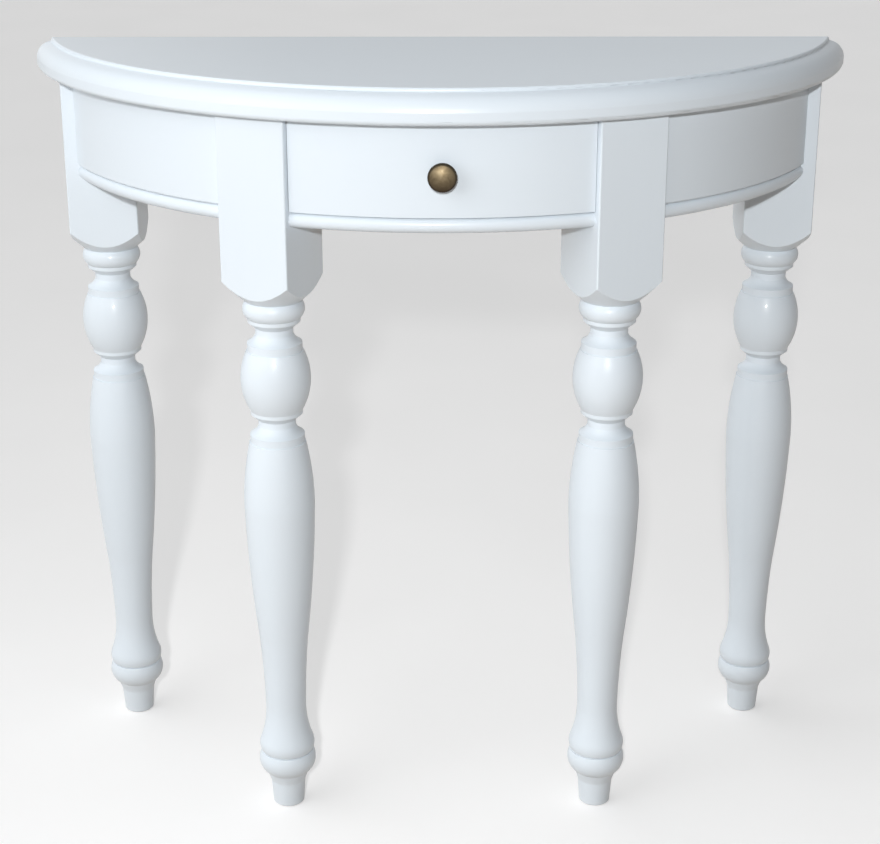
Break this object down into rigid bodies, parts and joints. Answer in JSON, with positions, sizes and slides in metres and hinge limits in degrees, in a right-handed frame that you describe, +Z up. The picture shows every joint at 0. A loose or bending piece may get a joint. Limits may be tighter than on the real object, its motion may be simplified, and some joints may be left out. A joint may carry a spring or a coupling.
{
  "type": "demilune console table",
  "caption": "Half-round white lacquered console table on turned legs, with curved aprons and a bow-fronted drawer that slides out on a round metal knob.",
  "frame": {"origin": "on the floor, under the middle of the table's outline box", "axes": "+Z is up, -Y is the curved front with the drawer, +Y is the straight back, +X is to the viewer's right from the front"},
  "size_m": [0.8, 0.3119, 0.725],
  "materials": {
    "white_lacquer": "satin white lacquer on wood",
    "bare_wood": "bare planed wood",
    "plywood": "thin bare plywood",
    "antique_brass": "darkened antique brass"
  },
  "bodies": {
    "frame": {"top_panel": "white_lacquer", "leg_front_left": "white_lacquer", "leg_front_right": "white_lacquer", "leg_rear_left": "white_lacquer", "leg_rear_right": "white_lacquer", "side_apron_left": "white_lacquer", "side_apron_right": "white_lacquer", "side_bead_left": "white_lacquer", "side_bead_right": "white_lacquer", "back_rail": "white_lacquer", "drawer_rail": "white_lacquer", "upper_rail": "bare_wood", "runner_left": "bare_wood", "runner_right": "bare_wood", "guide_left": "bare_wood", "guide_right": "bare_wood", "kicker_left": "bare_wood", "kicker_right": "bare_wood", "drawer_stops": "bare_wood", "fixing_block_left": "bare_wood", "fixing_block_right": "bare_wood"},
    "drawer": {"drawer_front": "white_lacquer", "drawer_side_left": "bare_wood", "drawer_side_right": "bare_wood", "drawer_back": "bare_wood", "drawer_bottom": "plywood", "knob": "antique_brass"}
  },
  "joints": [
    {"name": "drawer_slide", "type": "slide", "parent": "frame", "child": "drawer", "axis": [0, -1, 0], "range_m": [0, 0.15]}
  ]
}
